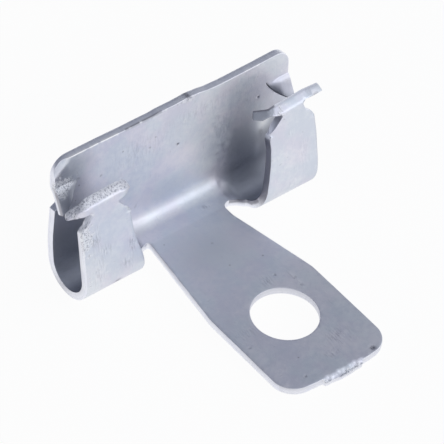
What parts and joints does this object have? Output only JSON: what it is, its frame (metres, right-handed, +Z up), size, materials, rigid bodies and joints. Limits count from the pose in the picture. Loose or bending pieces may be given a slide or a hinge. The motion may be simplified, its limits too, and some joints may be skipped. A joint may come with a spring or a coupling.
{
  "type": "edge clip",
  "caption": "Folded spring-steel edge clip: toothed hooks grip a flange, and a drooping tongue has a round hole for a rod or bolt.",
  "frame": {"origin": "centre of the bounding box in X and Y, on the surface it rests on", "axes": "+X along the flange edge, -Y the way the tongue points, +Z up, out of the hooks' mouths"},
  "size_m": [0.0454, 0.0396, 0.0218],
  "materials": {
    "zinc_steel": "satin bluish zinc coating, lightly scratched, with bright sheared edges"
  },
  "bodies": {
    "root": {"clip": "zinc_steel"}
  },
  "joints": []
}
